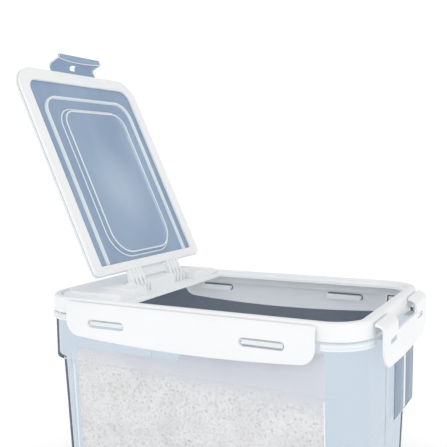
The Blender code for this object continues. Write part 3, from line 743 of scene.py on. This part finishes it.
def make_deck():
    """The hinge deck: its floor, two steps and the crossbar. Cut faces of neighbours stay apart."""
    levels = (
        ("deck_floor", 9.5, HALF_WIDTH - 9.5 * MM, LID_RADIUS - 9.5 * MM, -2.7, -0.3),
        ("deck_step_low", 17.5, HALF_WIDTH - 14.5 * MM, 20 * MM, -1.5, 3.5),
        ("deck_step_high", 50, 73 * MM, 6 * MM, 2, 5.5),
    )
    for index, (name, left, half, radius, low, high) in enumerate(levels):
        path = deck_path(left * MM, DECK_END - 0.05 * MM * index, half, radius)
        level = pad(name, path, from_rim(low * MM), from_rim(high * MM), 0.9 * MM, "white_plastic")
        carve(level, *hinge_cutters(0.05 * MM * (2 - index)))
        if name == "deck_step_low":
            hollow = outline(from_left(25 * MM), from_left(56 * MM), 93 * MM, 16 * MM, 2 * MM)
            carve(level, loft("hollow", [(hollow, from_rim(-12 * MM)), (hollow, from_rim(1.1 * MM))], None))
        soften(level, 0.35 * MM)
        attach(level, "bin")
    beam_half = HALF_WIDTH - LEDGE + 2 * MM
    beam = pad("crossbar_beam", deck_path(58 * MM, DECK_END + 7 * MM, beam_half, 1 * MM),
               from_rim(-6.9 * MM), from_rim(-LEDGE_DROP - 0.1 * MM), 0.6 * MM, "white_plastic")
    riser = pad("crossbar_riser", deck_path(58.5 * MM, DECK_END - 0.1 * MM, beam_half - 6 * MM, 1 * MM),
                from_rim(-5 * MM), from_rim(2.9 * MM), 0.4 * MM, "white_plastic")
    carve(riser, *hinge_cutters(0.15 * MM))
    for obj in (beam, riser):
        soften(obj, 0.3 * MM)
        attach(obj, "bin")


def make_hinge_block():
    """The block that holds the hinge: two cheeks and a middle, and the small catch for the latch."""
    for sign, label in ((-1, "front"), (1, "back")):
        inner, outer = sorted((sign * (ARM_REACH + 0.4 * MM), sign * (ARM_REACH + 4 * MM)))
        cheek = [(from_left(62 * MM), from_rim(2 * MM)), (from_left(84 * MM), from_rim(2 * MM))]
        for step in range(17):
            angle = radians(20 + 140 * step / 16)
            cheek.append((HINGE.x + 9 * MM * cos(angle), HINGE.z + 7 * MM * sin(angle)))
        obj = prism_along_y(f"hinge_cheek_{label}", cheek, inner, outer, "white_plastic")
        soften(obj, 0.5 * MM, angle=30)
        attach(obj, "bin")

    def middle(inset):
        radius = max(2 * MM - inset, 0.5 * MM)
        left, right = from_left(63 * MM) + inset, from_left(80 * MM) - inset
        return outline(left, right, ARM_INNER - 1 * MM - inset, radius, radius)

    obj = pad("hinge_middle", middle, from_rim(3 * MM), from_rim(7 * MM), 0.9 * MM, "white_plastic")
    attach(obj, "bin")
    root, reach = -1 * MM, 1 * MM
    catch = ((root, -1.5 * MM), (reach, -3.4 * MM), (reach, -4.8 * MM), (root, -5.2 * MM))
    points = [(HALF_LENGTH + x, from_rim(z)) for x, z in catch]
    nub = prism_along_y("latch_catch", points, -4 * MM, 4 * MM, "white_plastic")
    soften(nub, 0.3 * MM)
    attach(nub, "bin")


def make_gasket():
    """The silicone ring in the frame's channel."""
    low, high = from_rim(-5.9 * MM), from_rim(-2.7 * MM)
    outer, inner = SKIRT_WALL + 0.3 * MM, SKIRT_WALL + 3.7 * MM
    section = [(outer, low), (outer, high), (inner, high), (inner, low)]
    gasket = ring("gasket_ring", section, lid_outline, "silicone", 0.6 * MM)
    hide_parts("lid_gasket")
    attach(gasket, "bin")


def make_pins():
    """The hinge pins, each turned with a chamfer at both ends."""
    for name, node in (("pin_front", "hinge_pin_front"), ("pin_back", "hinge_pin_back")):
        low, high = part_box(node)
        radius = (high[2] - low[2]) / 2
        rows = []
        for y, share in (
            (low[1], 0.6), (low[1] + 0.4 * MM, 0.94), (low[1] + 0.7 * MM, 1),
            (high[1] - 0.7 * MM, 1), (high[1] - 0.4 * MM, 0.94), (high[1], 0.6),
        ):
            rows.append([(x, y, z) for x, z in circle_section(HINGE.x, HINGE.z, radius * share)])
        pin = strip(name, rows, "steel")
        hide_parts(node)
        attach(pin, "bin")


# Flaps

def flap_depth(flap, y):
    """A flap's depth at a distance from its middle: a shallow curve with round lower corners."""
    half, radius = flap.half * MM, flap.corner * MM
    depth = (flap.middle - (flap.middle - flap.end) * (y / half) ** 2) * MM
    past = abs(y) - (half - radius)
    if past > 0:
        depth -= radius - sqrt(max(radius * radius - past * past, 0))
    return depth


def flap_section(flap, depth):
    """A flap's closed section: the round shoulder, the face, a rounded lower edge and the inside."""
    face, shoulder = flap.stand * MM - FLAP_AXIS_OUT - 0.01 * MM, flap.shoulder * MM
    outer, inner = [], []
    steps = 10
    for step in range(steps + 1):
        angle = 0.5 * pi * step / steps
        fall = 0.25 * sin(angle) + 0.75 * (1 - cos(angle))
        outer.append((face * sin(angle), FLAP_BEAD - (FLAP_BEAD + shoulder) * fall))
        inner_x = (face - FLAP_WALL) * sin(angle) - FLAP_BEAD * 0.4 * (1 - sin(angle))
        inner.append((inner_x, -FLAP_BEAD - (shoulder - FLAP_BEAD) * (1 - cos(angle))))
    rows = 5
    for row in range(1, rows):
        z = -shoulder - (depth - shoulder) * row / rows
        outer.append((face, z))
        inner.append((face - FLAP_WALL, z))
    corners = [outer[-1], (face, -depth), (face - FLAP_WALL, -depth), inner[-1]]
    edge = fillet(corners, 1.05 * MM, closed=False)
    return outer + edge[1:-1] + list(reversed(inner))


def slot_cutter(flap, sign, matrix):
    """A round-ended slot through a flap's face."""
    radius = flap.slot_height * MM / 2
    centre_y, centre_z = sign * flap.slot_at * MM, FLAP_AXIS_DROP - SLOT_DROP
    straight = flap.slot_length * MM / 2 - radius
    rows = []
    for x in (-6 * MM, 16 * MM):
        loop = []
        for end in (1, -1):
            for step in range(17):
                angle = -0.5 * pi * end + pi * step / 16
                y = centre_y + end * straight + radius * cos(angle)
                loop.append((x, y, centre_z + radius * sin(angle)))
        rows.append(loop)
    return strip("slot", rows, None, matrix)


def dimple(y, matrix):
    """A small round-ended pit on a flap's shoulder."""
    mesh_data = bmesh.new()
    bmesh.ops.create_uvsphere(mesh_data, u_segments=16, v_segments=10, radius=1 * MM)
    bmesh.ops.scale(mesh_data, vec=(1.0, 1.7, 0.7), verts=mesh_data.verts)
    bmesh.ops.translate(mesh_data, vec=Vector((2.0 * MM, y, -1.1 * MM)), verts=mesh_data.verts)
    return add_object("dimple", mesh_data, None, matrix)


def make_flaps():
    """The four flaps: a curved shell with two slots, and on some two pits or a window for the latch."""
    for side, flap in FLAPS.items():
        axis = (half_size(side) + FLAP_AXIS_OUT, 0, from_rim(-FLAP_AXIS_DROP))
        matrix = Matrix.Rotation(flap.turn, 4, "Z") @ Matrix.Translation(axis)
        straight = (flap.half - flap.corner) * MM
        corner = [straight + flap.corner * MM * sin(0.5 * pi * i / 14) for i in range(1, 15)]
        places = [-c for c in reversed(corner)] + [straight * (-1 + 2 * i / 24) for i in range(25)] + corner
        rows = [[(x, y, z) for x, z in flap_section(flap, flap_depth(flap, y))] for y in places]
        shell = strip(f"flap_{side}_shell", rows, "white_plastic", matrix)
        cutters = [slot_cutter(flap, sign, matrix) for sign in (-1, 1)]
        if side in ("front", "back"):
            cutters += [dimple(y, matrix) for y in DIMPLES]
        if flap.window:
            window = flap.window * MM
            low, high = (-10 * MM, -window, WINDOW_BOTTOM), (20 * MM, window, WINDOW_TOP)
            cutters.append(boxes("window", (low, high), matrix=matrix))
        carve(shell, *cutters)
        soften(shell, 0.55 * MM, 3, 48)
        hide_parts(f"{side}_flap")
        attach(shell, f"flap_{side}")


# Door, made shut in its hinge frame and turned open

def door_outline(inset):
    """The door's outline; past the seal's groove the inset grows more slowly at the hinge."""
    past = inset - SEAL_GROOVE
    hinge_inset = inset if past <= 0 else SEAL_GROOVE + past * 4.2 / 8.9
    radius_left = max(8 * MM - hinge_inset, 1.5 * MM)
    radius_right = max(LID_RADIUS - LIP_WIDTH - DOOR_GAP - inset, 14 * MM)
    return outline(DOOR_START + hinge_inset, DOOR_END - inset, DOOR_HALF - inset, radius_left, radius_right)


def make_door_border():
    """The door's white border, with the seal's groove in its inner face."""
    outer, inner = 0.6 * MM, 14.5 * MM
    groove_top = INNER_FACE + 1.4 * MM
    section = [
        (outer, BORDER_TOP), (inner, BORDER_TOP), (inner, INNER_FACE), (SEAL_GROOVE, INNER_FACE),
        (SEAL_GROOVE, groove_top), (2.4 * MM, groove_top), (2.4 * MM, INNER_FACE), (outer, INNER_FACE),
    ]
    border = ring("border_ring", section, door_outline, "white_plastic", 0.6 * MM, DOOR_FRAME)
    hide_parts("door_border")
    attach(border, "door")


def make_arms():
    """Two hinge arms of four ribs each, on a web along the border's outer face."""
    web_low, web_high = BORDER_TOP - 1.6 * MM, BORDER_TOP - 0.1 * MM
    tail_x, half = DOOR_START + 0.8 * MM, RIB_WIDTH / 2
    barrel = [point for point in circle_section(0, 0, 4.2 * MM, 48) if point[0] < 2.2 * MM]
    tail = [(tail_x, INNER_FACE + 0.15 * MM), (tail_x, BORDER_TOP - 0.15 * MM)]
    for sign, label in ((-1, "front"), (1, "back")):
        ends = sorted((sign * (ARM_INNER + 0.2 * MM), sign * (ARM_REACH - 0.2 * MM)))
        low, high = (8.7 * MM, ends[0], web_low), (DOOR_START + 1 * MM, ends[1], web_high)
        web = boxes(f"arm_web_{label}", (low, high), material_name="white_plastic", matrix=DOOR_FRAME)
        soften(web, 0.3 * MM)
        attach(web, "door")
        for index, y in enumerate(rib_places(sign)):
            rib = prism_along_y(
                f"arm_rib_{label}_{index}", barrel + tail, y - half, y + half, "white_plastic", DOOR_FRAME)
            soften(rib, 0.45 * MM, angle=40)
            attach(rib, "door")


def make_door_seal():
    """The silicone ring in the border's groove."""
    low, high = INNER_FACE - 0.05 * MM, INNER_FACE + 1.3 * MM
    section = [(1.9 * MM, low), (2.5 * MM, high), (5.5 * MM, high), (6.1 * MM, low)]
    seal = ring("seal_ring", section, door_outline, "silicone", 0.15 * MM, DOOR_FRAME)
    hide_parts("door_seal")
    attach(seal, "door")


def dish_outline(grow):
    """The dish's outline on the panel, widened by a distance."""
    x0, x1 = DOOR_START + 16 * MM - grow, DOOR_END - 48 * MM + grow
    return outline(x0, x1, DOOR_HALF - 47 * MM + grow, 30 * MM + grow, 20 * MM + grow)


def make_panel():
    """The clear panel: a dished middle inside two moulded lines, and a rounded edge."""
    deep_in, deep_out, line = PANEL_BOTTOM - DISH_DEPTH, PANEL_TOP - DISH_DEPTH, PANEL_BOTTOM - 0.5 * MM
    inner_side = [
        (-16, deep_in - 0.6 * MM), (-3.6, deep_in - 0.35 * MM), (-3.2, deep_in - 0.9 * MM),
        (-2.2, deep_in - 0.9 * MM), (-1.6, deep_in + 0.2 * MM), (-0.3, line), (0.2, line),
        (1.0, line), (1.4, PANEL_BOTTOM),
    ]
    outer_side = [
        (1.2, PANEL_TOP), (-0.8, deep_out + 0.2 * MM),
        (-3.0, deep_out - 0.35 * MM), (-16, deep_out - 0.6 * MM),
    ]
    corners = [(4 * MM, PANEL_BOTTOM), (0.05 * MM, PANEL_BOTTOM), (0, PANEL_TOP), (4 * MM, PANEL_TOP)]
    loops = [(dish_outline(grow * MM), z) for grow, z in inner_side]
    loops += [(door_outline(inset), z) for inset, z in fillet(corners, 0.9 * MM, closed=False)]
    loops += [(dish_outline(grow * MM), z) for grow, z in outer_side]
    panel = loft("panel_sheet", loops, "clear_blue_door", DOOR_FRAME)
    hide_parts("door_panel")
    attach(panel, "door")


def rib_outline(grow):
    """The U-shaped rib's outline: its line, widened by a distance on both sides."""
    x0, x1 = DOOR_START + 10.4 * MM, DOOR_END - 33.5 * MM
    half, radius = DOOR_HALF - 27 * MM - 1.2 * MM, 21 * MM
    far, near = [(x0, -half - grow)], [(x0, -half + grow)]
    for sign in (-1, 1):
        for step in range(15):
            angle = 0.5 * pi * (step / 14 - (1 if sign < 0 else 0))
            for points, offset in ((far, grow), (near, -grow)):
                x = x1 - radius + (radius + offset) * cos(angle)
                points.append((x, sign * (half - radius) + (radius + offset) * sin(angle)))
    far.append((x0, half + grow))
    near.append((x0, half - grow))
    return far + list(reversed(near))


def make_panel_rib():
    """The U-shaped stiffening rib on the panel's inner face, pale with a painted highlight."""
    foot, tip = PANEL_BOTTOM + 0.3 * MM, PANEL_BOTTOM - 3.1 * MM
    levels = (
        (1.5, foot), (1.3, PANEL_BOTTOM - 0.4 * MM),
        (1.1, tip + 0.7 * MM), (0.9, tip + 0.2 * MM), (0.5, tip),
    )
    loops = [(rib_outline(grow * MM), z) for grow, z in levels]
    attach(loft("panel_rib", loops, "clear_painted_highlight", DOOR_FRAME), "door")


def make_dish_lines():
    """Two fine raised lines round the dish, pale with a painted highlight: one at the foot of its wall, one
    at the top.
    """
    foot = PANEL_BOTTOM - DISH_DEPTH
    for name, grow, z, width, height in (
        ("dish_line_inner", -2.6 * MM, foot - 0.2 * MM, 1.0 * MM, 0.8 * MM),
        ("dish_line_outer", 1.2 * MM, PANEL_BOTTOM + 0.1 * MM, 0.9 * MM, 0.7 * MM),
    ):
        section = [(-width, z), (width, z), (width * 0.7, z - height), (-width * 0.7, z - height)]
        loops = [(dish_outline(grow + out), level) for out, level in fillet(section, 0.35 * MM)]
        line = loft(name, loops, "clear_painted_highlight", DOOR_FRAME, ring=True)
        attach(line, "door")


def make_hinge_tongue():
    """The panel's tongue between the two hinge arms, pale with a painted highlight."""
    def path(inset):
        return outline(10 * MM + inset, DOOR_START + 2 * MM, ARM_INNER - 1 * MM - inset, 1.5 * MM, 0.5 * MM)

    low, high = PANEL_BOTTOM + 0.1 * MM, PANEL_TOP - 0.1 * MM
    tongue = pad("hinge_tongue", path, low, high, 0.5 * MM, "clear_painted_highlight", DOOR_FRAME)
    soften(tongue, 0.3 * MM)
    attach(tongue, "door")


def latch_faces(share):
    """The latch's outer and inner faces at a share of its half width, as (x, z, half width) points."""
    lip_x = 2 * HALF_LENGTH + LATCH_STAND - HINGE_X
    face_x = lip_x + LATCH_WALL
    top = PANEL_TOP - 0.16 * MM
    far = -HINGE_Z - LATCH_DEPTH
    crease = -HINGE_Z - LATCH_CREASE - LATCH_CREASE_BOW * share * share
    start, wide = DOOR_END - 2 * MM, LATCH_HALF + 1.1 * MM
    outer, inner = [(start, top, wide)], [(start, top - LATCH_WALL, wide)]
    for step in range(13):
        angle = 0.5 * pi * (1 - step / 12)
        for points, bend in ((outer, LATCH_BEND), (inner, LATCH_BEND - LATCH_WALL)):
            x, z = face_x - LATCH_BEND + bend * cos(angle), top - LATCH_BEND + bend * sin(angle)
            points.append((x, z, LATCH_HALF))
    crease_half, far_half = LATCH_HALF - 0.4 * MM, LATCH_HALF - 2.4 * MM
    outer += [
        (face_x, crease + 1.6 * MM, crease_half), (face_x + 0.4 * MM, crease + 0.6 * MM, crease_half),
        (face_x + 3.6 * MM, far + 1.3 * MM, far_half), (face_x + 3.6 * MM, far + 0.3 * MM, far_half),
        (face_x + 3.2 * MM, far, far_half),
    ]
    inner += [
        (lip_x, crease + 0.7 * MM, crease_half), (lip_x + 0.3 * MM, crease - 0.2 * MM, crease_half),
        (face_x + 1.8 * MM, far, far_half),
    ]
    return outer, inner


def make_latch():
    """The latch: a flared finger edge with a curved crease, and a rounded hole at the bend."""
    rows = []
    for step in range(41):
        share = 2 * step / 40 - 1
        outer, inner = latch_faces(share)
        rows.append([(x, share * half, z) for x, z, half in outer + inner[::-1]])
    latch = strip("latch_tab", rows, "clear_blue_door", DOOR_FRAME)
    hole = outline(-5 * MM, 5 * MM, 5 * MM, 1.6 * MM, 1.6 * MM)
    low_x = 2 * HALF_LENGTH - 2 * MM - HINGE_X
    corner = DOOR_FRAME @ Matrix.Translation((low_x + 0.6 * MM, 0, -2 * MM))
    cutter = loft("hole", [(hole, 0), (hole, 20 * MM)], None, corner @ Matrix.Rotation(radians(45), 4, "Y"))
    carve(latch, cutter)
    soften(latch, 0.4 * MM, 3, 45)
    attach(latch, "door")


def make_latch_edges():
    """Painted highlights along the latch's rounded edges: both sides, and the curved crease on its inner
    face.
    """
    for name, share in (("latch_edge_front", -1), ("latch_edge_back", 1)):
        outer, inner = latch_faces(share)
        path = []
        for pair in (*zip(outer[1:14], inner[1:14]), (outer[15], inner[15]), (outer[-1], inner[-1])):
            x, z, half = [(a + b) / 2 for a, b in zip(*pair)]
            path.append((x, share * (half - 0.5 * MM), z))
        path[-1] = tuple(Vector(path[-1]).lerp(Vector(path[-2]), 0.14))
        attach(tube(name, path, 0.72 * MM, "clear_painted_highlight", DOOR_FRAME), "door")
    crease = []
    for step in range(25):
        share = 2 * step / 24 - 1
        x, z, half = latch_faces(share)[1][-2]
        crease.append((x, share * half, z))
    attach(tube("latch_crease", crease, 0.5 * MM, "clear_painted_highlight", DOOR_FRAME), "door")


def make_panel_edge():
    """The panel's outer edge, which stands out past the border: painted shade at the back, a painted
    highlight at the front.
    """
    low, high = PANEL_BOTTOM - 0.05 * MM, PANEL_TOP + 0.03 * MM
    section = [(-0.03 * MM, low), (-0.03 * MM, high), (1.3 * MM, high), (1.3 * MM, low)]
    loops = [(door_outline(inset), z) for inset, z in fillet(section, 0.4 * MM)]
    count = len(loops[0][0])
    for name, places, material_name in (
        ("panel_edge_back", range(count // 2), "clear_painted_shade"),
        ("panel_edge_front", range(count // 2 - 1, count + 1), "clear_painted_highlight"),
    ):
        rows = [[(*points[i % count], z) for points, z in loops] for i in places]
        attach(strip(name, rows, material_name, DOOR_FRAME), "door")


# Studio

def add_camera():
    """A camera in front of the right corner, a little over the rim."""
    data = bpy.data.cameras.new("camera")
    data.sensor_width = 36
    data.lens = 55.20
    data.clip_start, data.clip_end = 0.01, 50
    camera = bpy.data.objects.new("camera", data)
    bpy.context.scene.collection.objects.link(camera)
    turn, tilt, roll = -0.487, 0.088, -0.015
    forward = Vector((sin(turn) * cos(tilt), cos(turn) * cos(tilt), -sin(tilt)))
    right = forward.cross(Vector((0, 0, 1))).normalized()
    up = right.cross(forward)
    x_axis = right * cos(roll) + up * sin(roll)
    y_axis = -right * sin(roll) + up * cos(roll)
    rotation = Matrix((x_axis, y_axis, -forward)).transposed()
    camera.matrix_world = Matrix.Translation((0.3236, -0.6360, 0.3818)) @ rotation.to_4x4()
    bpy.context.scene.camera = camera


def math_node(tree, operation, first, second):
    """An arithmetic node; the second value is a constant or a node's output."""
    node = tree.nodes.new("ShaderNodeMath")
    node.operation = operation
    tree.links.new(first, node.inputs[0])
    if isinstance(second, float):
        node.inputs[1].default_value = second
    else:
        tree.links.new(second, node.inputs[1])
    return node.outputs[0]


def seen_through(tree):
    """The painted shade behind clear walls, whether the camera looks through one, and whether it looks at
    all.
    """
    path = tree.nodes.new("ShaderNodeLightPath")
    depth, camera = path.outputs["Transparent Depth"], path.outputs["Is Camera Ray"]
    walls = map_range(tree, depth, 2.0, 4.0)
    colour = ramp(tree, walls, (0.0, BEHIND_ONE_WALL), (1.0, BEHIND_TWO_WALLS))
    beyond = math_node(tree, "MULTIPLY", math_node(tree, "GREATER_THAN", depth, 0.5), camera)
    return colour, beyond, camera


def add_world():
    """A white room, brighter at the front and overhead, with painted shade where the camera looks through
    the clear walls.
    """
    world = bpy.data.worlds.new("studio")
    bpy.context.scene.world = world
    world.use_nodes = True
    tree = world.node_tree
    place = tree.nodes.new("ShaderNodeTexCoord")
    split = tree.nodes.new("ShaderNodeSeparateXYZ")
    tree.links.new(place.outputs["Generated"], split.inputs[0])
    across = map_range(tree, split.outputs["Y"], 1.0, -1.0, 0.66, 1.06)
    overhead = map_range(tree, split.outputs["Z"], 0.1, 1.0, 1.0, 1.03)
    room = tree.nodes["Background"]
    room.inputs["Color"].default_value = (1, 1, 1, 1)
    tree.links.new(math_node(tree, "MULTIPLY", across, overhead), room.inputs["Strength"])
    colour, beyond, camera = seen_through(tree)
    white = glow(tree, "ShaderNodeBackground", WHITE)
    seen = mix_shaders(tree, camera, room.outputs[0], white)
    whole = mix_shaders(tree, beyond, seen, glow(tree, "ShaderNodeBackground", colour=colour))
    tree.links.new(whole, tree.nodes["World Output"].inputs["Surface"])


def add_floor():
    """A round pale floor that fades into the white room."""
    mesh_data = bmesh.new()
    bmesh.ops.create_circle(mesh_data, cap_ends=True, radius=4.0, segments=96)
    mesh = bpy.data.meshes.new("floor")
    mesh_data.to_mesh(mesh)
    mesh_data.free()
    floor = bpy.data.objects.new("floor", mesh)
    floor.location = (0, 0, -0.5 * MM)
    bpy.context.scene.collection.objects.link(floor)
    made, tree, shader = new_material("floor")
    shader.inputs["Roughness"].default_value = 0.9
    pale = tones(tree, noise(tree, 3), (0.93, 0.93, 0.93), (0.96, 0.96, 0.96))
    tree.links.new(pale, shader.inputs["Base Color"])
    fade = map_range(tree, measure(tree, "LENGTH"), 0.14, 0.42, smooth=True)
    # Seen by the camera through the clear walls, the floor shows the same painted shade
    colour, beyond, _ = seen_through(tree)
    near = mix_shaders(tree, fade, shader.outputs[0], glow(tree, "ShaderNodeEmission", WHITE))
    whole = mix_shaders(tree, beyond, near, glow(tree, "ShaderNodeEmission", colour=colour))
    tree.links.new(whole, tree.nodes["Material Output"].inputs["Surface"])
    mesh.materials.append(made)


def area(name, size, power, place, target):
    """A square area light that faces a target."""
    data = bpy.data.lights.new(name, "AREA")
    data.size = size
    data.energy = power
    lamp = bpy.data.objects.new(name, data)
    bpy.context.scene.collection.objects.link(lamp)
    lamp.location = place
    lamp.rotation_euler = (Vector(target) - Vector(place)).to_track_quat("-Z", "Y").to_euler()


add_camera()
make_tub()
make_bead()
make_corner_lines()
make_grip_bands()
make_tongues()
make_insert()
make_frame_ring()
make_deck()
make_hinge_block()
make_gasket()
make_pins()
make_flaps()
make_door_border()
make_arms()
make_door_seal()
make_panel()
make_panel_rib()
make_dish_lines()
make_hinge_tongue()
make_latch()
make_latch_edges()
make_panel_edge()
add_world()
add_floor()
area("key", size=0.9, power=2.8, place=(1.4, -0.7, 0.9), target=(0, 0, 0.25))
bpy.context.scene.view_settings.view_transform = "Standard"
